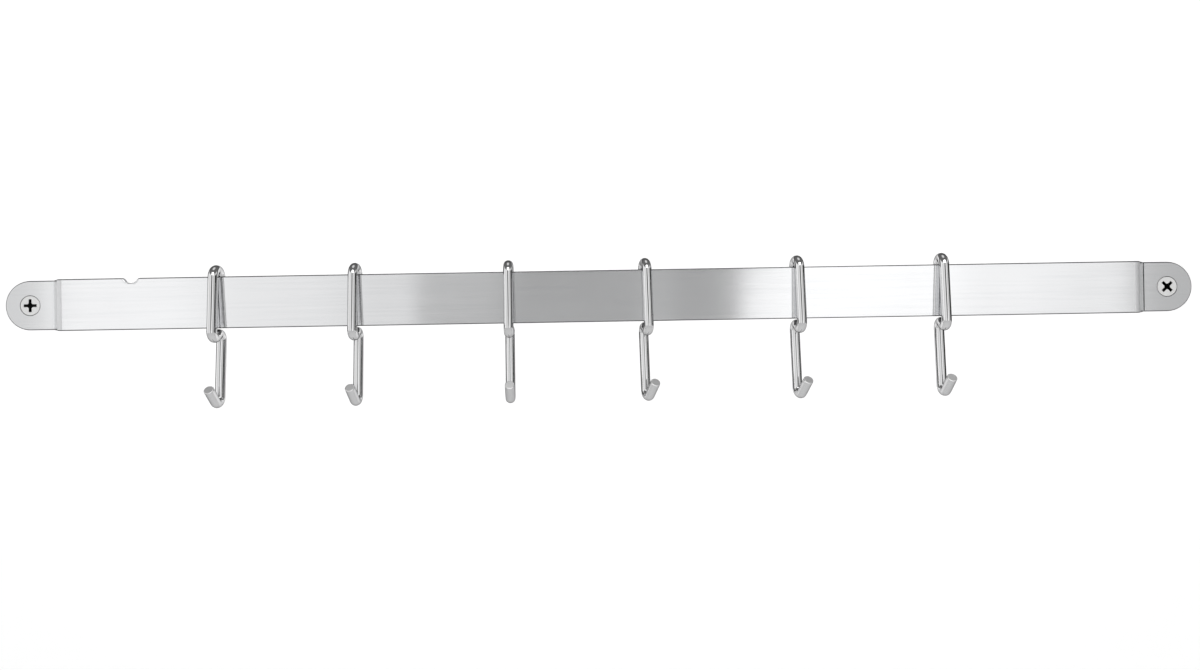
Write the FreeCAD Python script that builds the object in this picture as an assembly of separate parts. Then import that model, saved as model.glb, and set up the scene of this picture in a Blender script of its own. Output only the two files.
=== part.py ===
import FreeCAD, Part
import math
import os

# Wall rail of folded flat bar with six sliding S hooks and two wall screws, in millimetres.
# X runs along the rail, Z is up, the wall is the plane y = 0 and the front faces -Y.

# Rail
hole_spacing = 584.2
bar_height = 25.4
bar_thickness = 2.5
standoff = 19.0
pad_flat = 12.6
ramp_angle = 52.0
fold_inner_radius = 1.2
rail_edge_radius = 0.4

# Notch in the top edge where a hook is put on
notch_place = -229.4
notch_width = 9.4
notch_depth = 2.5
notch_corner_radius = 2.0

# Wall screws
thread_diameter = 5.5
screw_length = 38.0
point_length = 7.0
point_diameter = 0.6
head_diameter = 10.0
head_land = 0.23
head_angle = 90.0
head_edge_radius = 0.1
hole_clearance = 0.25
seat_gap = 0.07
recess_span = 6.7
recess_slot = 1.5
recess_floor_span = 2.6
recess_floor_slot = 1.0
recess_depth = 2.9
screw_turns = (0.0, 45.0)

# Hooks
wire_diameter = 4.76
side_clearance = 0.37
seat_clearance = 0.3
under_clearance = 0.45
lip_below_top = 2.8
leg_lean = 5.1
bend_inner_radius = 0.8
crossing_rise = 38.0
crossing_run = 0.6
shank_lean = 5.5
hook_drop = 39.0
tip_rise = 43.0
tip_run = 9.9
wire_end_radius = 0.5
hook_places = (-187.6, -119.5, -44.1, 22.9, 97.6, 168.6)
hook_turns = (2.0, 1.0, 3.0, 11.0, 5.5, -4.0)
tip_turns = (0.0, -2.0, 1.5, 8.0, 5.5, 3.0)

# Sizes that follow from those above
bar_top = bar_height / 2
bar_bottom = -bar_height / 2
bar_middle_y = -standoff - bar_thickness / 2
tab_fold_x = hole_spacing / 2 - pad_flat
bar_fold_x = tab_fold_x - standoff / math.tan(math.radians(ramp_angle))
thread_radius = thread_diameter / 2
head_radius = head_diameter / 2
wire_radius = wire_diameter / 2

UP = FreeCAD.Vector(0, 0, 1)
TO_WALL = FreeCAD.Vector(0, 1, 0)
ORIGIN = FreeCAD.Vector(0, 0, 0)


def bent_path(corners, radii):
    """One tangent line-and-arc wire through the corners, each inner corner rounded."""
    edges = []
    start = corners[0]
    for before, corner, after, radius in zip(corners, corners[1:], corners[2:], radii):
        back = (before - corner).normalize()
        ahead = (after - corner).normalize()
        half = back.getAngle(ahead) / 2
        reach = radius / math.tan(half)
        bisector = (back + ahead).normalize()
        first = corner + back * reach
        middle = corner + bisector * (radius / math.sin(half) - radius)
        last = corner + ahead * reach
        if start.distanceToPoint(first) > 1e-6:
            edges.append(Part.LineSegment(start, first).toShape())
        edges.append(Part.Arc(first, middle, last).toShape())
        start = last
    edges.append(Part.LineSegment(start, corners[-1]).toShape())
    return Part.Wire(edges)


def polygon_wire(points):
    return Part.makePolygon(points + [points[0]])


def rail_outline():
    """The flat bar's front outline: full-round ends, drawn in XZ and run through the depth."""
    half = hole_spacing / 2
    end = half + bar_top
    lower_left = FreeCAD.Vector(-half, 0, bar_bottom)
    lower_right = FreeCAD.Vector(half, 0, bar_bottom)
    upper_right = FreeCAD.Vector(half, 0, bar_top)
    upper_left = FreeCAD.Vector(-half, 0, bar_top)
    wire = Part.Wire([
        Part.LineSegment(lower_left, lower_right).toShape(),
        Part.Arc(lower_right, FreeCAD.Vector(end, 0, 0), upper_right).toShape(),
        Part.LineSegment(upper_right, upper_left).toShape(),
        Part.Arc(upper_left, FreeCAD.Vector(-end, 0, 0), lower_left).toShape(),
    ])
    depth = standoff + 3 * bar_thickness
    blank = Part.Face(wire).extrude(FreeCAD.Vector(0, -depth, 0))
    blank.translate(TO_WALL * bar_thickness)
    return blank


def notch_cutter():
    """The notch: a round bottom that runs into a rounded shoulder on each side."""
    half = notch_width / 2
    bottom_radius = (half ** 2 + notch_depth ** 2) / (2 * notch_depth) - notch_corner_radius
    shoulder_z = bar_top - notch_corner_radius
    bottom_z = bar_top - notch_depth + bottom_radius
    slope = math.atan2(half, bottom_z - shoulder_z)
    meet_x = bottom_radius * math.sin(slope)
    meet_z = bottom_z - bottom_radius * math.cos(slope)
    turn_x = half - notch_corner_radius * math.sin(slope / 2)
    turn_z = shoulder_z + notch_corner_radius * math.cos(slope / 2)

    def place(x, z):
        return FreeCAD.Vector(notch_place + x, 0, z)

    above = bar_top + notch_depth
    wire = Part.Wire([
        Part.Arc(place(-half, bar_top), place(-turn_x, turn_z), place(-meet_x, meet_z)).toShape(),
        Part.Arc(place(-meet_x, meet_z), place(0, bar_top - notch_depth), place(meet_x, meet_z)).toShape(),
        Part.Arc(place(meet_x, meet_z), place(turn_x, turn_z), place(half, bar_top)).toShape(),
        Part.LineSegment(place(half, bar_top), place(half, above)).toShape(),
        Part.LineSegment(place(half, above), place(-half, above)).toShape(),
        Part.LineSegment(place(-half, above), place(-half, bar_top)).toShape(),
    ])
    depth = standoff + 3 * bar_thickness
    cutter = Part.Face(wire).extrude(FreeCAD.Vector(0, -depth, 0))
    cutter.translate(TO_WALL * bar_thickness)
    return cutter


def outline_edges(shape, outline_normal_limit=0.2):
    """The edges where the front or the back of the folded bar meets its cut outline."""

    def on_outline(face):
        u0, u1, v0, v1 = face.ParameterRange
        normal = face.normalAt((u0 + u1) / 2, (v0 + v1) / 2)
        across = max(abs(normal.x), abs(normal.y)) < outline_normal_limit
        return across or (isinstance(face.Surface, Part.Cylinder) and abs(face.Surface.Axis.y) > 0.99)

    sides = [face for face in shape.Faces if on_outline(face)]
    found = []
    for edge in shape.Edges:
        owners = [face for face in sides if any(edge.isSame(other) for other in face.Edges)]
        if len(owners) == 1:
            found.append(edge)
    return found


def countersunk_hole(x):
    """Screw hole: a cone at the front that ends in a clear hole for the thread."""
    half_angle = math.radians(head_angle / 2)
    hole_radius = thread_radius + hole_clearance
    sink_radius = head_radius + head_land * math.tan(half_angle) + seat_gap
    reach = bar_thickness + 1.0
    sink_depth = sink_radius / math.tan(half_angle)
    over = 1.0
    wide = sink_radius + over * math.tan(half_angle)
    cone = Part.makeCone(
        wide, 0, sink_depth + over, FreeCAD.Vector(x, -bar_thickness - over, 0), TO_WALL)
    hole = Part.makeCylinder(hole_radius, reach + over, FreeCAD.Vector(x, -reach, 0), TO_WALL)
    return cone.fuse(hole)


def make_rail():
    tab_y = -bar_thickness / 2
    end = hole_spacing / 2 + bar_height
    corners = [
        FreeCAD.Vector(-end, tab_y, 0),
        FreeCAD.Vector(-tab_fold_x, tab_y, 0),
        FreeCAD.Vector(-bar_fold_x, bar_middle_y, 0),
        FreeCAD.Vector(bar_fold_x, bar_middle_y, 0),
        FreeCAD.Vector(tab_fold_x, tab_y, 0),
        FreeCAD.Vector(end, tab_y, 0),
    ]
    fold_radius = fold_inner_radius + bar_thickness / 2
    path = bent_path(corners, [fold_radius] * 4)
    tall = bar_height
    section = Part.Face(polygon_wire([
        FreeCAD.Vector(-end, 0, -tall),
        FreeCAD.Vector(-end, 0, tall),
        FreeCAD.Vector(-end, -bar_thickness, tall),
        FreeCAD.Vector(-end, -bar_thickness, -tall),
    ]))
    folded = path.makePipe(section)
    rail = folded.common(rail_outline()).cut(notch_cutter()).Solids[0]
    rail = rail.makeFillet(rail_edge_radius, outline_edges(rail))
    for side in (-1, 1):
        rail = rail.cut(countersunk_hole(side * hole_spacing / 2))
    return rail.Solids[0]


def cross_recess(turn):
    """Tapered cross recess with a pointed floor, cut into the head from its front."""
    depth = FreeCAD.Vector(0, recess_depth, 0)
    front = FreeCAD.Vector(0, -bar_thickness, 0)

    def blade(span, slot, at):
        return polygon_wire([
            at + FreeCAD.Vector(-span / 2, 0, -slot / 2),
            at + FreeCAD.Vector(span / 2, 0, -slot / 2),
            at + FreeCAD.Vector(span / 2, 0, slot / 2),
            at + FreeCAD.Vector(-span / 2, 0, slot / 2),
        ])

    over = 0.2
    taper_span = (recess_span - recess_floor_span) / recess_depth
    taper_slot = (recess_slot - recess_floor_slot) / recess_depth
    mouth = blade(recess_span + over * taper_span, recess_slot + over * taper_slot, front - TO_WALL * over)
    floor = blade(recess_floor_span, recess_floor_slot, front + depth)
    wing = Part.makeLoft([mouth, floor], True)
    other = wing.copy()
    other.rotate(ORIGIN, TO_WALL, 90)
    hub = Part.makeCone(
        recess_slot * 1.1, recess_floor_slot * 0.75, recess_depth + over, front - TO_WALL * over, TO_WALL)
    point = Part.makeCone(recess_floor_slot * 0.75, 0, recess_floor_slot * 0.4, front + depth, TO_WALL)
    recess = wing.fuse([other, hub, point])
    recess.rotate(ORIGIN, TO_WALL, turn)
    return recess


def make_screw(x, turn):
    """Flat-head wall screw with its head level with the front of the tab."""
    half_angle = math.radians(head_angle / 2)
    front = -bar_thickness
    cone_end = front + head_land + (head_radius - thread_radius) / math.tan(half_angle)
    tip = front + screw_length
    profile = [
        FreeCAD.Vector(0, front, 0),
        FreeCAD.Vector(head_radius - head_edge_radius, front, 0),
        FreeCAD.Vector(head_radius, front + head_edge_radius, 0),
        FreeCAD.Vector(head_radius, front + head_land, 0),
        FreeCAD.Vector(thread_radius, cone_end, 0),
        FreeCAD.Vector(thread_radius, tip - point_length, 0),
        FreeCAD.Vector(point_diameter / 2, tip, 0),
        FreeCAD.Vector(0, tip, 0),
    ]
    screw = Part.Face(polygon_wire(profile)).revolve(ORIGIN, TO_WALL, 360)
    screw = screw.cut(cross_recess(turn)).Solids[0]
    screw.translate(FreeCAD.Vector(x, 0, 0))
    return screw


def hook_corners(tip_turn):
    """Corners of the hook's centre line, from the lip behind the bar to the tip in front."""
    lean = math.radians(leg_lean)
    rise = math.radians(crossing_rise)
    sway = math.radians(shank_lean)
    climb = math.radians(tip_rise)
    bend = bend_inner_radius + wire_radius
    arch_inner = bar_thickness / 2 + side_clearance
    arch = arch_inner + wire_radius
    seat_inner = arch_inner
    arch_z = bar_top + seat_clearance - math.sqrt(seat_inner ** 2 - (bar_thickness / 2) ** 2)
    arch_top = arch_z + arch

    def leg_at(z):
        return (arch - (z - arch_z) * math.sin(lean)) / math.cos(lean)

    def meet(point, direction, other, other_direction):
        cross = direction[0] * other_direction[1] - direction[1] * other_direction[0]
        gap = (other[0] - point[0], other[1] - point[1])
        along = (gap[0] * other_direction[1] - gap[1] * other_direction[0]) / cross
        return (point[0] + along * direction[0], point[1] + along * direction[1])

    # Lower bend of the S, the rise under the bar, and the upper bend just below the bar
    crossing_top = bar_bottom - under_clearance - wire_radius
    crossing_low = crossing_top - 2 * bend * (1 - math.cos(rise)) - crossing_run * math.sin(rise)
    lower_z = crossing_low + bend
    lower_v = leg_at(lower_z) - bend / math.cos(lean)
    crossing_way = (-math.cos(rise), math.sin(rise))
    crossing_from = (lower_v - bend * math.sin(rise), lower_z - bend * math.cos(rise))
    upper_v = lower_v - 2 * bend * math.sin(rise) - crossing_run * math.cos(rise)
    upper_z = lower_z - 2 * bend * math.cos(rise) + crossing_run * math.sin(rise)

    # Shank behind the bar, and the tip turned up in front
    shank_way = (math.sin(sway), -math.cos(sway))
    shank_from = (upper_v - bend / math.cos(sway), upper_z)
    foot_z = bar_bottom - hook_drop + wire_radius + bend
    foot_v = shank_from[0] + (upper_z - foot_z) * math.tan(sway) + bend / math.cos(sway)
    tip_way = (math.cos(climb), math.sin(climb))
    tip_from = (foot_v + bend * math.sin(climb), foot_z - bend * math.cos(climb))
    tip_end = (tip_from[0] + tip_run * tip_way[0], tip_from[1] + tip_run * tip_way[1])

    leg_way = (math.sin(lean), -math.cos(lean))
    flat = [
        (-arch, bar_top - lip_below_top),
        (-arch, arch_top),
        (arch * math.tan(math.pi / 4 - lean / 2), arch_top),
        meet((leg_at(0), 0), leg_way, crossing_from, crossing_way),
        meet(crossing_from, crossing_way, shank_from, shank_way),
        meet(shank_from, shank_way, tip_from, tip_way),
        tip_end,
    ]
    corners = [FreeCAD.Vector(0, -v, z) for v, z in flat]
    down = (corners[5] - corners[4]).normalize()
    swing = FreeCAD.Rotation(down, -tip_turn)
    corners[6] = corners[5] + swing.multVec(corners[6] - corners[5])
    return corners, [arch, arch, bend, bend, bend]


def make_hook(place, turn, tip_turn):
    """Round wire swept along the bent centre line, both ends cut square and eased."""
    corners, radii = hook_corners(tip_turn)
    path = bent_path(corners, radii)
    start = corners[0]
    ring = Part.makeCircle(wire_radius, start, (corners[1] - start).normalize())
    hook = path.makePipe(Part.Face(Part.Wire(ring)))
    ends = [
        edge for edge in hook.Edges
        if edge.Closed and min(edge.CenterOfMass.distanceToPoint(p) for p in (start, corners[-1])) < 1e-3
    ]
    hook = hook.makeFillet(wire_end_radius, ends)
    hook.rotate(ORIGIN, UP, turn)
    hook.translate(FreeCAD.Vector(place, bar_middle_y, 0))
    return hook.Solids[0]


os.makedirs("parts", exist_ok=True)

make_rail().exportStep("parts/rail.step")

screws = [
    make_screw(side * hole_spacing / 2, turn)
    for side, turn in zip((-1, 1), screw_turns)
]
Part.makeCompound(screws).exportStep("parts/mounting_screws.step")

for number, settings in enumerate(zip(hook_places, hook_turns, tip_turns), 1):
    make_hook(*settings).exportStep("parts/hook_%d.step" % number)
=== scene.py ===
import math
import bmesh
import bpy
from mathutils import Matrix, Vector


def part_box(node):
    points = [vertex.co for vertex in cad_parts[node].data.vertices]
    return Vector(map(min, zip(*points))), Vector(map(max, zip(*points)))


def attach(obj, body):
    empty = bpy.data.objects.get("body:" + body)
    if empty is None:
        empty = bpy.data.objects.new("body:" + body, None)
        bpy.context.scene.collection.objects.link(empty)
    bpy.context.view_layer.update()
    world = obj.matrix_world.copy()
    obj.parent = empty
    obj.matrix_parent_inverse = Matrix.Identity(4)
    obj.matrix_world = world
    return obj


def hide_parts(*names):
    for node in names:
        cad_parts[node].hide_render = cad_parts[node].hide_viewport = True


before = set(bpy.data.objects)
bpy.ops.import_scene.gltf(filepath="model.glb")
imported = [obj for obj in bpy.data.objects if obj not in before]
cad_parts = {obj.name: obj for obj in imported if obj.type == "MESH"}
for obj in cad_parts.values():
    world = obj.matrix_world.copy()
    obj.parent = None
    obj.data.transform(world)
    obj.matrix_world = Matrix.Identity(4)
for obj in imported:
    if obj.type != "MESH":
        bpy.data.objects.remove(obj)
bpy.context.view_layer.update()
scene = bpy.context.scene
scene.view_settings.view_transform = "Standard"
mm = 0.001
tiny = 1e-7                                # metres, below which two places are the same
railLow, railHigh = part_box("rail")
endRadius = (railHigh.z - railLow.z) / 2   # half the bar's height, and the round of its tabs
holeX = railHigh.x - endRadius             # screw axis from the middle of the rail
print("frame loaded:", sorted(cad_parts))


# node helpers

def newMaterial(name):
    material = bpy.data.materials.new(name)
    material.use_nodes = True
    material.node_tree.nodes.clear()
    return material, material.node_tree


def addNode(tree, kind, settings=None, **inputs):
    # inputs go by name, with _ for a space, or by number as i0, i1
    node = tree.nodes.new(kind)
    for key, value in (settings or {}).items():
        setattr(node, key, value)
    for key, value in inputs.items():
        byNumber = key[1:].isdigit()
        socket = node.inputs[int(key[1:]) if byNumber else key.replace("_", " ")]
        if isinstance(value, bpy.types.NodeSocket):
            tree.links.new(value, socket)
        else:
            socket.default_value = value
    return node


def mathNode(tree, operation, first, second=0.0):
    return addNode(tree, "ShaderNodeMath", {"operation": operation}, i0=first, i1=second).outputs[0]


def mixFloat(tree, share, first, second):
    return addNode(tree, "ShaderNodeMix", {"data_type": "FLOAT"}, i0=share, i2=first, i3=second).outputs[0]


def mixColor(tree, share, first, second):
    return addNode(tree, "ShaderNodeMix", {"data_type": "RGBA"}, i0=share, i6=first, i7=second).outputs[2]


def mapRange(tree, value, span, result=(0.0, 1.0), kind="LINEAR"):
    return addNode(tree, "ShaderNodeMapRange", {"interpolation_type": kind}, Value=value,
                   From_Min=span[0], From_Max=span[1], To_Min=result[0], To_Max=result[1]).outputs[0]


def easeRange(tree, value, span, result=(0.0, 1.0)):
    return mapRange(tree, value, span, result, "SMOOTHSTEP")


def window(tree, value, low, high, soft):
    # 1 between low and high, easing to 0 over soft on either side
    rise = easeRange(tree, value, (low - soft, low + soft))
    fall = easeRange(tree, value, (high - soft, high + soft), (1.0, 0.0))
    return mathNode(tree, "MULTIPLY", rise, fall)


def noiseAt(tree, place, stretch, detail, roughness):
    stretched = addNode(tree, "ShaderNodeMapping", Vector=place, Scale=stretch).outputs[0]
    return addNode(tree, "ShaderNodeTexNoise", Vector=stretched, Scale=1.0, Detail=detail,
                   Roughness=roughness).outputs[0]


def bumpNode(tree, finish, height):
    return addNode(tree, "ShaderNodeBump", Strength=finish["bump"], Distance=finish["bumpDepth"],
                   Height=height).outputs[0]


# piece helpers

def justVerts(geometry):
    return [part for part in geometry if isinstance(part, bmesh.types.BMVert)]


def addPiece(name, bm, material, body, node, smoothAngle):
    mesh = bpy.data.meshes.new(name)
    bm.to_mesh(mesh)
    bm.free()
    piece = bpy.data.objects.new(name, mesh)
    scene.collection.objects.link(piece)
    mesh.materials.append(material)
    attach(piece, body)
    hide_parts(node)
    mesh.set_sharp_from_angle(angle=math.radians(smoothAngle))
    weighted = piece.modifiers.new("flatFaces", "WEIGHTED_NORMAL")
    weighted.keep_sharp = True
    weighted.weight = 80


# metals

noiseSpan = (0.3, 0.7)                     # where nearly all values of a noise texture lie

railFinish = {
    "color": (0.93, 0.935, 0.945, 1.0),
    "roughness": (0.105, 0.195),
    "brushed": 1.0,                        # reflections spread across the grain
    "grain": (18.0, 2600.0, 2600.0),       # lengthwise brushing, cycles per metre
    "scratch": (55.0, 5200.0, 5200.0),
    "grainShare": 0.65,                    # the rest is scratches
    "blotch": (45.0, 45.0, 45.0),
    "blotchShare": 0.3,                    # how much of the roughness is blotches
    "streak": (17.0, 800.0, 800.0),        # broad pale and dark lines of the brushing
    "streakSpan": (0.42, 0.72),
    "streakColor": (0.9, 0.907, 0.919, 1.0),
    "bump": 0.09,
    "bumpDepth": 0.05 * mm,
    "edgeTint": 0.9,
    "creviceShade": (0.03, 0.03, 0.03, 1.0),    # painted shade inside the countersinks
    "creviceRadius": 5.25 * mm,
    "shadedCutEdge": (0.13, 0.13, 0.135, 1.0),   # painted shade along the sheared edges
    "cutEdgeRoughness": 0.34,
    "cutEdgeFrom": (12.15 * mm, 12.32 * mm),
    "foldFrom": (262.8 * mm, 263.5 * mm),  # stretched, duller metal over the outer folds
    "foldTo": (266.6 * mm, 268.6 * mm),
    "foldRoughness": 0.38,
}
wireFinish = {
    "color": (0.82, 0.82, 0.825, 1.0),
    "roughness": (0.03, 0.09),
    "grain": (1500.0, 1500.0, 40.0),       # drawn lines along the wire
    "bump": 0.03,
    "bumpDepth": 0.04 * mm,
    "edgeTint": 0.12,
    "tipFrom": (82.4 * mm, 88.4 * mm),     # the ground length at the open end, along the wire
    "tipRoughness": 0.26,
    "endRoughness": 0.45,
    "endColor": (0.94, 0.94, 0.94, 1.0),
}
screwFinish = {
    "color": (0.97, 0.97, 0.965, 1.0),
    "roughness": (0.42, 0.54),
    "recess": (0.03, 0.03, 0.03, 1.0),     # painted shade in the driver's cross
    "recessFrom": -2.4 * mm,               # just under the face of the head
    "recessReach": 2.37 * mm,              # radius of the painted shade cone at the wall, wider towards the face
    "recessTaper": 0.45,
    "edgeTint": 0.3,
    "grain": (900.0, 900.0, 900.0),
    "bump": 0.06,
    "bumpDepth": 0.05 * mm,
}


def metalShader(tree, color, roughness, normal, edgeTint):
    shader = addNode(tree, "ShaderNodeBsdfPrincipled", Metallic=1.0, Base_Color=color, Roughness=roughness,
                     Normal=normal, Specular_Tint=(edgeTint, edgeTint, edgeTint, 1.0))
    addNode(tree, "ShaderNodeOutputMaterial", Surface=shader.outputs[0])
    return shader


def fromScrewAxis(tree, parts):
    # distance from the nearer screw's axis
    across = mathNode(tree, "SUBTRACT", mathNode(tree, "ABSOLUTE", parts["X"]), holeX)
    square = mathNode(tree, "ADD", mathNode(tree, "MULTIPLY", across, across),
                      mathNode(tree, "MULTIPLY", parts["Z"], parts["Z"]))
    return mathNode(tree, "SQRT", square)


def makeRailSteel():
    material, tree = newMaterial("brushedRailSteel")
    place = addNode(tree, "ShaderNodeTexCoord").outputs["Object"]
    parts = addNode(tree, "ShaderNodeSeparateXYZ", Vector=place).outputs
    out = mathNode(tree, "ABSOLUTE", parts["X"])
    reach = fromScrewAxis(tree, parts)

    # brushing
    grain = noiseAt(tree, place, railFinish["grain"], detail=3.0, roughness=0.6)
    scratch = noiseAt(tree, place, railFinish["scratch"], detail=2.0, roughness=0.5)
    blotch = noiseAt(tree, place, railFinish["blotch"], detail=2.0, roughness=0.5)
    streak = noiseAt(tree, place, railFinish["streak"], detail=2.0, roughness=0.5)
    brushing = mixFloat(tree, railFinish["grainShare"], scratch, grain)
    bump = bumpNode(tree, railFinish, brushing)
    uneven = mixFloat(tree, railFinish["blotchShare"], brushing, blotch)
    roughness = mapRange(tree, uneven, noiseSpan, railFinish["roughness"])
    streak = mapRange(tree, streak, railFinish["streakSpan"])
    color = mixColor(tree, streak, railFinish["color"], railFinish["streakColor"])

    # painted shade in the countersinks, and painted shade with duller metal along the sheared edges along the
    # bar and round its ends
    # painted shade in the countersinks round the screw heads
    sunk = mathNode(tree, "LESS_THAN", reach, railFinish["creviceRadius"])
    color = mixColor(tree, sunk, color, railFinish["creviceShade"])
    roundEnd = mathNode(tree, "GREATER_THAN", out, holeX)
    fromMiddle = mixFloat(tree, roundEnd, mathNode(tree, "ABSOLUTE", parts["Z"]), reach)
    # the sheared edges get painted shade in their colour and duller metal in their roughness
    shadedCutEdge = easeRange(tree, fromMiddle, railFinish["cutEdgeFrom"])
    color = mixColor(tree, shadedCutEdge, color, railFinish["shadedCutEdge"])
    roughness = mixFloat(tree, shadedCutEdge, roughness, railFinish["cutEdgeRoughness"])

    # reflections spread up and down on the flats, and sideways over the outer folds
    begins = easeRange(tree, out, railFinish["foldFrom"])
    ends = easeRange(tree, out, railFinish["foldTo"])
    fold = mathNode(tree, "SUBTRACT", begins, ends)
    flat = mathNode(tree, "SUBTRACT", 1.0, fold)
    roughness = mixFloat(tree, fold, roughness, railFinish["foldRoughness"])
    shader = metalShader(tree, color, roughness, bump, railFinish["edgeTint"])
    shader.inputs["Anisotropic"].default_value = railFinish["brushed"]
    spread = addNode(tree, "ShaderNodeCombineXYZ", X=fold, Z=flat).outputs[0]
    tree.links.new(spread, shader.inputs["Tangent"])
    return material


def makeHookWire():
    material, tree = newMaterial("polishedHookWire")
    place = addNode(tree, "ShaderNodeAttribute", {"attribute_name": "wireCoord"}).outputs["Vector"]
    cutEnd = addNode(tree, "ShaderNodeAttribute", {"attribute_name": "cutEnd"}).outputs["Fac"]
    along = addNode(tree, "ShaderNodeSeparateXYZ", Vector=place).outputs["Z"]
    grain = noiseAt(tree, place, wireFinish["grain"], detail=3.0, roughness=0.55)
    roughness = mapRange(tree, grain, noiseSpan, wireFinish["roughness"])
    tip = easeRange(tree, along, wireFinish["tipFrom"])
    roughness = mixFloat(tree, tip, roughness, wireFinish["tipRoughness"])
    roughness = mixFloat(tree, cutEnd, roughness, wireFinish["endRoughness"])
    color = mixColor(tree, cutEnd, wireFinish["color"], wireFinish["endColor"])
    metalShader(tree, color, roughness, bumpNode(tree, wireFinish, grain), wireFinish["edgeTint"])
    return material


def makeScrewSteel():
    material, tree = newMaterial("satinScrewSteel")
    place = addNode(tree, "ShaderNodeTexCoord").outputs["Object"]
    parts = addNode(tree, "ShaderNodeSeparateXYZ", Vector=place).outputs
    grain = noiseAt(tree, place, screwFinish["grain"], detail=3.0, roughness=0.6)
    roughness = mapRange(tree, grain, noiseSpan, screwFinish["roughness"])
    # painted shade inside the driver's cross, a cone round the axis under the head's face
    widening = mathNode(tree, "MULTIPLY", parts["Y"], screwFinish["recessTaper"])
    coneReach = mathNode(tree, "ADD", fromScrewAxis(tree, parts), widening)
    recessShade = mathNode(tree, "MULTIPLY", mathNode(tree, "LESS_THAN", coneReach, screwFinish["recessReach"]),
                      mathNode(tree, "GREATER_THAN", parts["Y"], screwFinish["recessFrom"]))
    color = mixColor(tree, recessShade, screwFinish["color"], screwFinish["recess"])
    metalShader(tree, color, roughness, bumpNode(tree, screwFinish, grain), screwFinish["edgeTint"])
    return material


railSteel = makeRailSteel()
hookWire = makeHookWire()
screwSteel = makeScrewSteel()
print("metals made")


# rail: a flat blank with its holes and notch, then folded

railBlank = {
    "thickness": 2.5 * mm,
    "padFlat": 12.6 * mm,
    "rampAngle": math.radians(52.0),
    "foldInner": 1.2 * mm,
    "foldCuts": 12,
    "edgeRadius": 0.4 * mm,
    "edgeSteps": 3,
    "easedFrom": 1.0,                      # radians, sharper edges of the outline are eased
    "notchPlace": -229.4 * mm,
    "notchWidth": 9.4 * mm,
    "notchDepth": 2.5 * mm,
    "notchCorner": 2.0 * mm,
    "notchCuts": 40,
    "sinkRadius": 5.3 * mm,
    "sinkMargin": 1.0 * mm,                # points nearer to a hole than this belong to it
    "holeRadius": 3.0 * mm,
    "roundSteps": 64,
    "squareSteps": 10,                     # steps of the round that lie on the pad's straight inner end
    "smoothAngle": 35,
}
plate = railBlank["thickness"]
ramp = railBlank["rampAngle"]
standoff = -railLow.y - plate
foldRadius = railBlank["foldInner"] + plate / 2
foldTrim = foldRadius * math.tan(ramp / 2)
tabFoldX = holeX - railBlank["padFlat"]
barFoldX = tabFoldX - standoff / math.tan(ramp)
barY = -standoff - plate / 2
# stations along the blank's middle line, from the middle of the rail
barEnd = barFoldX - foldTrim
foldOneEnd = barEnd + foldRadius * ramp
rampEnd = foldOneEnd + standoff / math.sin(ramp) - 2 * foldTrim
foldTwoEnd = rampEnd + foldRadius * ramp
blankHole = foldTwoEnd + railBlank["padFlat"] - foldTrim


def foldPoint(along, out):
    # place of a blank point: along its middle line, out towards the front
    if along <= barEnd:
        return along, barY - out
    if along <= foldOneEnd:
        turn = (along - barEnd) / foldRadius
        reach = foldRadius + out
        return barEnd + reach * math.sin(turn), barY + foldRadius - reach * math.cos(turn)
    if along <= rampEnd:
        run = along - foldOneEnd
        rampX = barEnd + foldRadius * math.sin(ramp)
        rampY = barY + foldRadius * (1 - math.cos(ramp))
        return (rampX + run * math.cos(ramp) + out * math.sin(ramp),
                rampY + run * math.sin(ramp) - out * math.cos(ramp))
    if along <= foldTwoEnd:
        turn = (foldTwoEnd - along) / foldRadius
        reach = foldRadius - out
        return tabFoldX + foldTrim - reach * math.sin(turn), -plate / 2 - foldRadius + reach * math.cos(turn)
    return tabFoldX + foldTrim + along - foldTwoEnd, -plate / 2 - out


def notchDrop(x):
    # depth of the notch below the top edge at x: round bottom, rounded shoulders
    half, depth, corner = railBlank["notchWidth"] / 2, railBlank["notchDepth"], railBlank["notchCorner"]
    bottom = (half ** 2 + depth ** 2) / (2 * depth) - corner
    meet = half * bottom / (bottom + corner)
    off = abs(x - railBlank["notchPlace"])
    if off >= half:
        return 0.0
    if off > meet:
        return corner - math.sqrt(corner ** 2 - (half - off) ** 2)
    return depth - bottom + math.sqrt(bottom ** 2 - off ** 2)


def ringEdges(bm, verts):
    inRing = set(verts)
    return [edge for edge in bm.edges if edge.verts[0] in inRing and edge.verts[1] in inRing]


def fromHole(vert):
    return math.hypot(abs(vert.co.x) - blankHole, vert.co.z)


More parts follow.
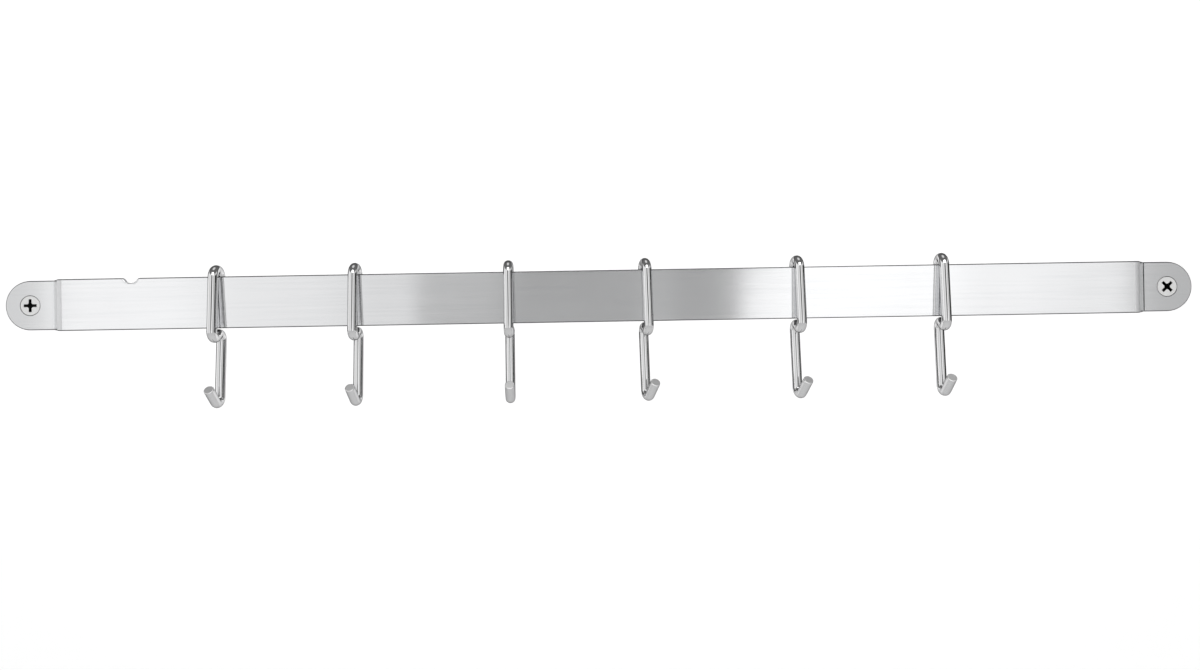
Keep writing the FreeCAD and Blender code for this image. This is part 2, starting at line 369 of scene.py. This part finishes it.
def buildRail():
    bm = bmesh.new()
    steps = railBlank["roundSteps"]
    upright = Matrix.Rotation(math.pi / 2, 4, "X")
    padInner = endRadius / math.tan(2 * math.pi * railBlank["squareSteps"] / steps)
    for side in (-1, 1):
        # a pad, round outside and square inside, with its hole
        outer = bmesh.ops.create_circle(bm, segments=steps, radius=endRadius, matrix=upright)["verts"]
        for vert in outer:
            inward = -vert.co.x * side
            if inward > tiny:
                vert.co *= min(padInner / inward, endRadius / max(abs(vert.co.z), tiny))
        hole = bmesh.ops.create_circle(bm, segments=steps, radius=railBlank["sinkRadius"],
                                       matrix=upright)["verts"]
        bmesh.ops.bridge_loops(bm, edges=ringEdges(bm, outer) + ringEdges(bm, hole))
        bmesh.ops.translate(bm, vec=(side * blankHole, 0, 0), verts=outer + hole)

    # the strip between the two pads, cut across at the folds and the notch
    stripEnd = blankHole - padInner
    sideEdges = [edge for edge in bm.edges if all(abs(vert.co.x + stripEnd) < tiny for vert in edge.verts)]
    drawn = bmesh.ops.extrude_edge_only(bm, edges=sideEdges)["geom"]
    bmesh.ops.translate(bm, vec=(2 * stripEnd, 0, 0), verts=justVerts(drawn))
    bmesh.ops.remove_doubles(bm, verts=bm.verts, dist=1e-6)
    cuts = []
    for step in range(railBlank["foldCuts"] + 1):
        share = step / railBlank["foldCuts"]
        cuts.append(barEnd + share * (foldOneEnd - barEnd))
        cuts.append(rampEnd + share * (foldTwoEnd - rampEnd))
    cuts += [-cut for cut in cuts]
    for step in range(railBlank["notchCuts"] + 1):
        cuts.append(railBlank["notchPlace"] + railBlank["notchWidth"] * (step / railBlank["notchCuts"] - 0.5))
    for cut in cuts:
        bmesh.ops.bisect_plane(bm, geom=bm.verts[:] + bm.edges[:] + bm.faces[:], dist=1e-8,
                               plane_co=(cut, 0, 0), plane_no=(1, 0, 0))
    for vert in bm.verts:
        if vert.co.z > 0:
            vert.co.z *= 1 - notchDrop(vert.co.x) / endRadius

    # thickness, eased outline, countersinks
    thick = bmesh.ops.extrude_face_region(bm, geom=bm.faces[:])["geom"]
    bmesh.ops.translate(bm, vec=(0, plate, 0), verts=justVerts(thick))
    bmesh.ops.recalc_face_normals(bm, faces=bm.faces)
    holeReach = railBlank["sinkRadius"] + railBlank["sinkMargin"]
    outline = [edge for edge in bm.edges
               if len(edge.link_faces) == 2 and edge.calc_face_angle() > railBlank["easedFrom"]
               and min(fromHole(vert) for vert in edge.verts) > holeReach]
    bmesh.ops.bevel(bm, geom=outline, offset=railBlank["edgeRadius"], offset_type="OFFSET", affect="EDGES",
                    segments=railBlank["edgeSteps"], profile=0.5, material=-1, clamp_overlap=False)
    for vert in bm.verts:
        if vert.co.y > plate / 2 and fromHole(vert) < holeReach:
            shrink = railBlank["holeRadius"] / fromHole(vert)
            axis = math.copysign(blankHole, vert.co.x)
            vert.co.x = axis + (vert.co.x - axis) * shrink
            vert.co.z *= shrink

    for vert in bm.verts:
        x, y = foldPoint(abs(vert.co.x), plate / 2 - vert.co.y)
        vert.co = (math.copysign(x, vert.co.x), y, vert.co.z)
    bmesh.ops.recalc_face_normals(bm, faces=bm.faces)
    return bm


addPiece("foldedRail", buildRail(), railSteel, "rail_body", "rail", railBlank["smoothAngle"])
print("rail folded")


# hooks: a ring drawn and bent along each wire

hookShape = {
    "wireRadius": 2.38 * mm,
    "sideClearance": 0.37 * mm,
    "seatClearance": 0.3 * mm,
    "underClearance": 0.45 * mm,
    "lipBelowTop": 2.8 * mm,
    "legLean": math.radians(5.1),
    "bendInner": 0.8 * mm,
    "crossingRise": math.radians(38.0),
    "crossingRun": 0.6 * mm,
    "shankLean": math.radians(5.5),
    "drop": 39.0 * mm,
    "tipRise": math.radians(43.0),
    "tipRun": 9.9 * mm,
    "endRadius": 0.5 * mm,                 # eased rim of the cut ends
    "endSteps": 4,
    "cutShare": 0.5,                       # how much of that rim looks cut
    "ringSteps": 40,
    "runStep": 6.0 * mm,
    "bendStep": math.radians(6.0),
    "bendStepsMin": 4,
    "smoothAngle": 50,
    "places": (-187.6, -119.5, -44.1, 22.9, 97.6, 168.6),   # mm along the bar
    "turns": (2.0, 1.0, 3.0, 11.0, 5.5, -4.0),              # degrees, tip to the right is positive
    "tipTurns": (0.0, -2.0, 1.5, 8.0, 5.5, 3.0),
}


def crossPoint(pointA, wayA, pointB, wayB):
    cross = wayA[0] * wayB[1] - wayA[1] * wayB[0]
    gap = (pointB[0] - pointA[0], pointB[1] - pointA[1])
    along = (gap[0] * wayB[1] - gap[1] * wayB[0]) / cross
    return pointA[0] + along * wayA[0], pointA[1] + along * wayA[1]


def hookCorners(tipTurn):
    # corners of the wire's centre line, from the lip behind the bar to the tip, and the bends' radii
    wire, bend = hookShape["wireRadius"], hookShape["bendInner"] + hookShape["wireRadius"]
    lean, rise = hookShape["legLean"], hookShape["crossingRise"]
    sway, climb = hookShape["shankLean"], hookShape["tipRise"]
    archInner = plate / 2 + hookShape["sideClearance"]
    arch = archInner + wire
    archZ = endRadius + hookShape["seatClearance"] - math.sqrt(archInner ** 2 - (plate / 2) ** 2)

    def legAt(z):
        return (arch - (z - archZ) * math.sin(lean)) / math.cos(lean)

    crossingTop = -endRadius - hookShape["underClearance"] - wire
    crossingLow = crossingTop - 2 * bend * (1 - math.cos(rise)) - hookShape["crossingRun"] * math.sin(rise)
    lowerZ = crossingLow + bend
    lowerV = legAt(lowerZ) - bend / math.cos(lean)
    crossingWay = (-math.cos(rise), math.sin(rise))
    crossingFrom = (lowerV - bend * math.sin(rise), lowerZ - bend * math.cos(rise))
    upperV = lowerV - 2 * bend * math.sin(rise) - hookShape["crossingRun"] * math.cos(rise)
    upperZ = lowerZ - 2 * bend * math.cos(rise) + hookShape["crossingRun"] * math.sin(rise)
    shankWay = (math.sin(sway), -math.cos(sway))
    shankFrom = (upperV - bend / math.cos(sway), upperZ)
    footZ = -endRadius - hookShape["drop"] + wire + bend
    footV = shankFrom[0] + (upperZ - footZ) * math.tan(sway) + bend / math.cos(sway)
    tipWay = (math.cos(climb), math.sin(climb))
    tipFrom = (footV + bend * math.sin(climb), footZ - bend * math.cos(climb))
    flat = [
        (-arch, endRadius - hookShape["lipBelowTop"]),
        (-arch, archZ + arch),
        (arch * math.tan(math.pi / 4 - lean / 2), archZ + arch),
        crossPoint((legAt(0), 0), (math.sin(lean), -math.cos(lean)), crossingFrom, crossingWay),
        crossPoint(crossingFrom, crossingWay, shankFrom, shankWay),
        crossPoint(shankFrom, shankWay, tipFrom, tipWay),
        (tipFrom[0] + hookShape["tipRun"] * tipWay[0], tipFrom[1] + hookShape["tipRun"] * tipWay[1]),
    ]
    corners = [Vector((0, -v, z)) for v, z in flat]
    top, foot, tip = corners[-3:]
    shank = (foot - top).normalized()
    corners[-1] = foot + Matrix.Rotation(-tipTurn, 3, shank) @ (tip - foot)
    return corners, [arch, arch, bend, bend, bend]


def buildHook(place, turn, tipTurn):
    corners, radii = hookCorners(tipTurn)
    wire, ease = hookShape["wireRadius"], hookShape["endRadius"]
    bm = bmesh.new()
    coordLayer = bm.verts.layers.float_vector.new("wireCoord")
    endLayer = bm.verts.layers.float.new("cutEnd")
    centre = corners[0].copy()
    heading = (corners[1] - corners[0]).normalized()
    facing = heading.to_track_quat("Z", "X").to_matrix().to_4x4()
    ring = bmesh.ops.create_circle(bm, segments=hookShape["ringSteps"], radius=wire - ease,
                                   matrix=Matrix.Translation(centre) @ facing)["verts"]
    angles = [2 * math.pi * step / len(ring) for step in range(len(ring))]
    around = [(math.cos(angle) * wire, math.sin(angle) * wire) for angle in angles]
    travelled = 0.0

    def ringLoop():
        return [bm.edges.get(pair) for pair in zip(ring, ring[1:] + ring[:1])]

    def label(cut):
        # where each point lies round and along the wire, and whether it is on a cut end
        for vert, (side, up) in zip(ring, around):
            vert[coordLayer] = Vector((side, up, travelled))
            vert[endLayer] = cut

    def drawOn():
        # a new ring in the place of the old one, joined to it
        made = set(justVerts(bmesh.ops.extrude_edge_only(bm, edges=ringLoop())["geom"]))
        follow = []
        for vert in ring:
            reached = [edge.other_vert(vert) for edge in vert.link_edges]
            follow.append(next(other for other in reached if other in made))
        return follow

    def drawRun(run, pieces):
        nonlocal ring, centre, travelled
        for step in range(pieces):
            ring = drawOn()
            bmesh.ops.translate(bm, vec=run / pieces, verts=ring)
            travelled += run.length / pieces
            label(0.0)
        centre = centre + run

    def drawRim(end, widthCurve, runCurve):
        # quarter-round rim between the cut face and the wire's side
        nonlocal ring, centre, travelled
        turns = [math.pi / 2 * step / hookShape["endSteps"] for step in range(hookShape["endSteps"] + 1)]
        for before, now in zip(turns, turns[1:]):
            size = (wire - ease + ease * widthCurve(now)) / (wire - ease + ease * widthCurve(before))
            move = ease * abs(runCurve(now) - runCurve(before))
            ring = drawOn()
            for vert in ring:
                vert.co = centre + (vert.co - centre) * size + heading * move
            centre = centre + heading * move
            travelled += move
            label(1.0 if (centre - end).length < ease * hookShape["cutShare"] else 0.0)

    bmesh.ops.contextual_create(bm, geom=ringLoop())
    label(1.0)
    drawRim(corners[0], math.sin, math.cos)
    for before, corner, after, radius in zip(corners, corners[1:], corners[2:], radii):
        # straight on to the bend, then round its hub
        back, ahead = (before - corner).normalized(), (after - corner).normalized()
        half = back.angle(ahead) / 2
        hub = corner + (back + ahead).normalized() * radius / math.sin(half)
        run = corner + back * radius / math.tan(half) - centre
        if run.length > tiny:
            drawRun(run, max(1, round(run.length / hookShape["runStep"])))
        axis = (-back).cross(ahead).normalized()
        sweep = math.pi - 2 * half
        pieces = max(hookShape["bendStepsMin"], round(sweep / hookShape["bendStep"]))
        spin = Matrix.Rotation(sweep / pieces, 3, axis)
        for step in range(pieces):
            ring = drawOn()
            bmesh.ops.rotate(bm, cent=hub, matrix=spin, verts=ring)
            travelled += radius * sweep / pieces
            label(0.0)
        centre = hub + Matrix.Rotation(sweep, 3, axis) @ (centre - hub)
        heading = ahead
    drawRun(corners[-1] - centre - heading * ease, 1)
    drawRim(corners[-1], math.cos, math.sin)
    bmesh.ops.contextual_create(bm, geom=ringLoop())

    bmesh.ops.rotate(bm, cent=(0, 0, 0), matrix=Matrix.Rotation(turn, 3, "Z"), verts=bm.verts)
    bmesh.ops.translate(bm, vec=(place, barY, 0), verts=bm.verts)
    bmesh.ops.recalc_face_normals(bm, faces=bm.faces)
    return bm


hookRows = zip(hookShape["places"], hookShape["turns"], hookShape["tipTurns"])
for number, (place, turn, tipTurn) in enumerate(hookRows, 1):
    node = "hook_%d" % number
    addPiece("wireHook%d" % number, buildHook(place * mm, math.radians(turn), math.radians(tipTurn)),
             hookWire, node + "_body", node, hookShape["smoothAngle"])
print("hooks bent")


# screws: turned blank, cut recess, rolled thread

screwShape = {
    "length": 38.0 * mm,
    "headRadius": 5.0 * mm,
    "land": 0.23 * mm,
    "rim": 0.1 * mm,
    "threadRadius": 2.75 * mm,
    "rootRadius": 1.95 * mm,
    "plainShank": 6.0 * mm,
    "pointLength": 7.0 * mm,
    "pointRadius": 0.3 * mm,
    "recessSpan": 6.7 * mm,
    "recessSlot": 1.5 * mm,
    "recessFloorSpan": 2.6 * mm,
    "recessFloorSlot": 1.0 * mm,
    "recessDepth": 2.9 * mm,
    "recessOver": 0.3 * mm,                # the cutter stands this far out of the head
    "hubRadius": 1.65 * mm,
    "hubFloorRadius": 0.5 * mm,
    "hubSides": 8,
    "roundSteps": 64,
    "pitch": 2.4 * mm,
    "threadLead": 1.2 * mm,                # the thread begins this far up the plain shank
    "threadStop": 1.2 * mm,                # and ends this far before the point
    "threadFade": (12, 20),                # steps over which it rises and dies away
    "threadPointLoss": 0.75,               # share of its height lost towards the point
    "threadHalfWidth": 0.72 * mm,
    "threadSunk": 0.12 * mm,               # how far its foot lies in the core
    "threadLeast": 0.01 * mm,
    "axisGap": 0.02 * mm,
    "threadSteps": 32,
    "turns": (0.0, 45.0),
    "smoothAngle": 35,
}
screwTip = -plate + screwShape["length"]


def buildScrewBlank():
    front = -plate
    head, thread, root = screwShape["headRadius"], screwShape["threadRadius"], screwShape["rootRadius"]
    land, rim, shank = screwShape["land"], screwShape["rim"], screwShape["plainShank"]
    profile = [
        (0, front), (head - rim, front), (head, front + rim), (head, front + land),
        (thread, front + land + head - thread), (thread, shank), (root, shank + thread - root),
        (root, screwTip - screwShape["pointLength"]), (screwShape["pointRadius"], screwTip), (0, screwTip),
    ]
    bm = bmesh.new()
    verts = [bm.verts.new((radius, y, 0)) for radius, y in profile]
    edges = [bm.edges.new(pair) for pair in zip(verts, verts[1:])]
    bmesh.ops.spin(bm, geom=verts + edges, cent=(0, 0, 0), axis=(0, 1, 0), angle=2 * math.pi,
                   steps=screwShape["roundSteps"], use_merge=True)
    bmesh.ops.remove_doubles(bm, verts=bm.verts, dist=1e-7)
    bmesh.ops.recalc_face_normals(bm, faces=bm.faces)
    return bm


def buildRecess():
    # two crossed tapering blades and a hub
    bm = bmesh.new()
    depth, over = screwShape["recessDepth"], screwShape["recessOver"]
    spanTaper = (screwShape["recessSpan"] - screwShape["recessFloorSpan"]) / depth
    slotTaper = (screwShape["recessSlot"] - screwShape["recessFloorSlot"]) / depth
    for quarter in range(2):
        blade = bmesh.ops.create_cube(bm, size=1.0)["verts"]
        for vert in blade:
            down = depth if vert.co.y > 0 else -over
            vert.co = (vert.co.x * (screwShape["recessSpan"] - down * spanTaper), -plate + down,
                       vert.co.z * (screwShape["recessSlot"] - down * slotTaper))
        crossed = Matrix.Rotation(math.pi / 2 * quarter, 3, "Y")
        bmesh.ops.rotate(bm, cent=(0, 0, 0), matrix=crossed, verts=blade)
    hub = bmesh.ops.create_cone(bm, cap_ends=True, segments=screwShape["hubSides"], depth=depth + 2 * over,
                                radius1=screwShape["hubRadius"],
                                radius2=screwShape["hubFloorRadius"])["verts"]
    bmesh.ops.rotate(bm, cent=(0, 0, 0), matrix=Matrix.Rotation(-math.pi / 2, 3, "X"), verts=hub)
    bmesh.ops.translate(bm, vec=(0, -plate + depth / 2, 0), verts=hub)
    bmesh.ops.recalc_face_normals(bm, faces=bm.faces)
    return bm


def cutRecess(blank, cutter):
    pieces = []
    for name, bm in (("screwBlank", blank), ("recessCutter", cutter)):
        mesh = bpy.data.meshes.new(name)
        bm.to_mesh(mesh)
        bm.free()
        pieces.append(bpy.data.objects.new(name, mesh))
        scene.collection.objects.link(pieces[-1])
    blankPiece, cutterPiece = pieces
    cut = blankPiece.modifiers.new("recess", "BOOLEAN")
    cut.operation, cut.solver, cut.object, cut.use_self = "DIFFERENCE", "EXACT", cutterPiece, True
    result = bpy.data.meshes.new_from_object(blankPiece.evaluated_get(bpy.context.evaluated_depsgraph_get()))
    bm = bmesh.new()
    bm.from_mesh(result)
    meshes = [piece.data for piece in pieces] + [result]
    for piece in pieces:
        bpy.data.objects.remove(piece)
    for mesh in meshes:
        bpy.data.meshes.remove(mesh)
    return bm


def addThread(bm):
    # one ridge wound down the shank, fading in at the top and out at the point
    root, thread, pitch = screwShape["rootRadius"], screwShape["threadRadius"], screwShape["pitch"]
    start = screwShape["plainShank"] - screwShape["threadLead"]
    end = screwTip - screwShape["threadStop"]
    taperFrom = screwTip - screwShape["pointLength"]
    fadeIn, fadeOut = screwShape["threadFade"]
    half, sunk = screwShape["threadHalfWidth"], screwShape["threadSunk"]
    count = round((end - start) / pitch * screwShape["threadSteps"])

    def section(step):
        y = start + (end - start) * step / count
        point = max(0.0, (y - taperFrom) / screwShape["pointLength"])
        core = root + (screwShape["pointRadius"] - root) * point
        fade = min(1.0, step / fadeIn, (count - step) / fadeOut)
        height = (thread - root) * fade * (1 - screwShape["threadPointLoss"] * point)
        crest = core + max(height, screwShape["threadLeast"])
        return [(core - sunk, y - half), (crest, y), (core - sunk, y + half)]

    loops = []
    for step in range(count + 1):
        turn = Matrix.Rotation(2 * math.pi * step / screwShape["threadSteps"], 3, "Y")
        loops.append([bm.verts.new(turn @ Vector((max(radius, screwShape["axisGap"]), y, 0)))
                      for radius, y in section(step)])
    for loop, following in zip(loops, loops[1:]):
        for i in range(3):
            j = (i + 1) % 3
            bm.faces.new((loop[i], loop[j], following[j], following[i]))
    bm.faces.new(loops[0][::-1])
    bm.faces.new(loops[-1])


def buildScrews():
    screws = bmesh.new()
    for side, turn in zip((-1, 1), screwShape["turns"]):
        bm = cutRecess(buildScrewBlank(), buildRecess())
        addThread(bm)
        turned = Matrix.Rotation(math.radians(turn), 3, "Y")
        bmesh.ops.rotate(bm, cent=(0, 0, 0), matrix=turned, verts=bm.verts)
        bmesh.ops.translate(bm, vec=(side * holeX, 0, 0), verts=bm.verts)
        bmesh.ops.recalc_face_normals(bm, faces=bm.faces)
        mesh = bpy.data.meshes.new("oneScrew")
        bm.to_mesh(mesh)
        bm.free()
        screws.from_mesh(mesh)
        bpy.data.meshes.remove(mesh)
    return screws


addPiece("wallScrews", buildScrews(), screwSteel, "rail_body", "mounting_screws",
         screwShape["smoothAngle"])
print("screws cut")


# backdrop, light and camera

backdropLook = {
    "width": 5.5,
    "floorWidth": 11.0,
    "front": -3.0,                         # where the floor begins
    "behind": 3.0,                         # the wall's distance behind the rail
    "floor": -0.9,
    "floorUnder": 1.0 * mm,                # the wider floor lies this far under the paper
    "top": 1.65,
    "cove": 0.5,
    "coveSteps": 12,
    "color": (0.9, 0.9, 0.9, 1.0),
    "lift": (0.3, 0.68),                   # floor near the rail, and the white behind it
    "liftFrom": (0.6, 1.5),
}


def makeBackdropPaint():
    # pale paint, lifted to white far behind the rail, and clear from the back
    material, tree = newMaterial("paleBackdrop")
    paint = addNode(tree, "ShaderNodeBsdfDiffuse", Color=backdropLook["color"]).outputs[0]
    rays = addNode(tree, "ShaderNodeLightPath").outputs
    seen = mathNode(tree, "MAXIMUM", rays["Is Camera Ray"],
                    mathNode(tree, "MAXIMUM", rays["Is Glossy Ray"], rays["Is Transmission Ray"]))
    place = addNode(tree, "ShaderNodeTexCoord").outputs["Object"]
    parts = addNode(tree, "ShaderNodeSeparateXYZ", Vector=place).outputs
    far = easeRange(tree, parts["Y"], backdropLook["liftFrom"], backdropLook["lift"])
    lift = addNode(tree, "ShaderNodeEmission", Strength=mathNode(tree, "MULTIPLY", seen, far)).outputs[0]
    lit = addNode(tree, "ShaderNodeAddShader", i0=paint, i1=lift).outputs[0]
    clear = addNode(tree, "ShaderNodeBsdfTransparent").outputs[0]
    behind = addNode(tree, "ShaderNodeNewGeometry").outputs["Backfacing"]
    oneSided = addNode(tree, "ShaderNodeMixShader", i0=behind, i1=lit, i2=clear).outputs[0]
    addNode(tree, "ShaderNodeOutputMaterial", Surface=oneSided)
    return material


def buildBackdrop():
    bm = bmesh.new()
    width, front, floor = backdropLook["width"], backdropLook["front"], backdropLook["floor"]
    depth = backdropLook["behind"] - front
    line = [bm.verts.new((-width / 2, front, floor))]
    for step in ((0.0, depth, 0.0), (0.0, 0.0, backdropLook["top"] - floor)):
        made = bmesh.ops.extrude_vert_indiv(bm, verts=[line[-1]])["verts"]
        bmesh.ops.translate(bm, vec=step, verts=made)
        line += made
    bmesh.ops.bevel(bm, geom=[line[1]], affect="VERTICES", offset=backdropLook["cove"],
                    segments=backdropLook["coveSteps"], profile=0.5, material=-1)
    sheet = bmesh.ops.extrude_edge_only(bm, edges=bm.edges[:])["geom"]
    bmesh.ops.translate(bm, vec=(width, 0.0, 0.0), verts=justVerts(sheet))
    bmesh.ops.recalc_face_normals(bm, faces=bm.faces[:])
    if max(bm.faces, key=lambda face: face.calc_area()).normal.z < 0:
        bmesh.ops.reverse_faces(bm, faces=bm.faces[:])
    wide = bmesh.ops.create_grid(bm, x_segments=1, y_segments=1, size=0.5)["verts"]
    bmesh.ops.scale(bm, vec=(backdropLook["floorWidth"], depth, 1.0), verts=wide)
    bmesh.ops.translate(bm, vec=(0.0, front + depth / 2, floor - backdropLook["floorUnder"]), verts=wide)
    mesh = bpy.data.meshes.new("backdrop")
    bm.to_mesh(mesh)
    bm.free()
    backdrop = bpy.data.objects.new("backdrop", mesh)
    scene.collection.objects.link(backdrop)
    mesh.materials.append(makeBackdropPaint())


buildBackdrop()

# the room as the metal sees it, in degrees: cards by turn and tilt from straight in front, and a dark
# ring of unlit room round the backdrop, measured from straight behind; the third number is softness
allRound = (-200, 200, 1.0)
eyeLevel = (-22, 22, 4.0)
room = {
    "base": 1.0,
    "below": 0.78,
    "belowFrom": (-60.0, -15.0),
    "ring": (35, 67, 6.0),
    "ringGrey": 0.07,
    "cards": {
        "ceiling": {"turn": allRound, "tilt": (28, 76, 7.0), "grey": 0.15},
        "overhead": {"turn": allRound, "tilt": (74, 100, 6.0), "grey": 0.75},
        "leftMiddle": {"turn": (-26, -12, 3.0), "tilt": eyeLevel, "grey": 0.87},
        "leftNear": {"turn": (-18, -12, 3.0), "tilt": eyeLevel, "grey": 0.76},
        "rightGlow": {"turn": (11, 24, 1.5), "tilt": (-22, 30, 4.0), "grey": 1.1},
        "rightFall": {"turn": (29, 36, 3.0), "tilt": eyeLevel, "grey": 0.92},
        "cameraGap": {"turn": (-12.9, 9.9, 0.4), "tilt": eyeLevel, "grey": 0.48},
        "cameraDark": {"turn": (-7.0, 2.8, 0.6), "tilt": eyeLevel, "grey": 0.4},
        "cameraEdge": {"turn": (5.2, 8.8, 0.6), "tilt": eyeLevel, "grey": 0.4},
        "mast": {"turn": (-7.0, 13.0, 2.5), "tilt": (8, 32, 2.0), "grey": 0.08},
        "rightDoor": {"turn": (33.7, 52, 0.2), "tilt": eyeLevel, "grey": 0.49},
        "leftDoor": {"turn": (-56, -34.6, 0.2), "tilt": eyeLevel, "grey": 0.69},
        "rightDark": {"turn": (62, 110, 4.0), "tilt": (-20, 20, 8.0), "grey": 0.04},
        "leftDark": {"turn": (-118, -99, 4.0), "tilt": (-20, 20, 8.0), "grey": 0.06},
    },
}


def buildRoom():
    world = bpy.data.worlds.new("room")
    scene.world = world
    world.use_nodes = True
    tree = world.node_tree
    tree.nodes.clear()
    way = addNode(tree, "ShaderNodeTexCoord").outputs["Generated"]
    parts = addNode(tree, "ShaderNodeSeparateXYZ", Vector=way).outputs
    front = mathNode(tree, "MULTIPLY", parts["Y"], -1.0)
    turn = mathNode(tree, "DEGREES", mathNode(tree, "ARCTAN2", parts["X"], front))
    tilt = mathNode(tree, "DEGREES", mathNode(tree, "ARCSINE", parts["Z"]))
    fromBehind = mathNode(tree, "DEGREES", mathNode(tree, "ARCCOSINE", parts["Y"]))
    level = easeRange(tree, tilt, room["belowFrom"], (room["below"], room["base"]))
    level = mixFloat(tree, window(tree, fromBehind, *room["ring"]), level, room["ringGrey"])
    for card in room["cards"].values():
        across, upward = window(tree, turn, *card["turn"]), window(tree, tilt, *card["tilt"])
        level = mixFloat(tree, mathNode(tree, "MULTIPLY", across, upward), level, card["grey"])
    glow = addNode(tree, "ShaderNodeBackground", Color=(1.0, 1.0, 1.0, 1.0), Strength=level)
    addNode(tree, "ShaderNodeOutputWorld", Surface=glow.outputs[0])


buildRoom()

lamp = {"size": (0.9, 0.5), "place": (0.1, -0.9, 0.75), "aim": (0.0, 0.0, -0.02), "power": 4.0}


def addLamp():
    light = bpy.data.lights.new("softbox", "AREA")
    light.shape = "RECTANGLE"
    light.size, light.size_y = lamp["size"]
    light.energy = lamp["power"]
    holder = bpy.data.objects.new("softbox", light)
    scene.collection.objects.link(holder)
    holder.location = lamp["place"]
    holder.rotation_euler = (Vector(lamp["aim"]) - Vector(lamp["place"])).to_track_quat("-Z", "Y").to_euler()


addLamp()

view = {
    "frame": (1200, 670),
    "distance": 395 * mm,                  # lens to the bar's front
    "focalPixels": 806,
    "sensor": 36,
    "clipStart": 0.01,
    "sight": (600, 297),                   # where the lens looks straight back
    "railMiddle": (598.6, 296.0),
    "roll": math.radians(0.97),
}


def addCamera():
    wide, high = view["frame"]
    sightX, sightY = view["sight"]
    middleX, middleY = view["railMiddle"]
    scale = view["distance"] / view["focalPixels"]
    camera = bpy.data.cameras.new("camera")
    camera.sensor_width = view["sensor"]
    camera.lens = view["focalPixels"] / wide * view["sensor"]
    camera.shift_x = -(sightX - wide / 2) / wide
    camera.shift_y = (sightY - high / 2) / wide
    camera.clip_start = view["clipStart"]
    holder = bpy.data.objects.new("camera", camera)
    scene.collection.objects.link(holder)
    holder.location = ((sightX - middleX) * scale, railLow.y - view["distance"], (middleY - sightY) * scale)
    upright = Matrix.Rotation(math.pi / 2, 3, "X")
    holder.rotation_euler = (Matrix.Rotation(view["roll"], 3, "Y") @ upright).to_euler()
    scene.camera = holder


addCamera()
print("backdrop, light and camera set")
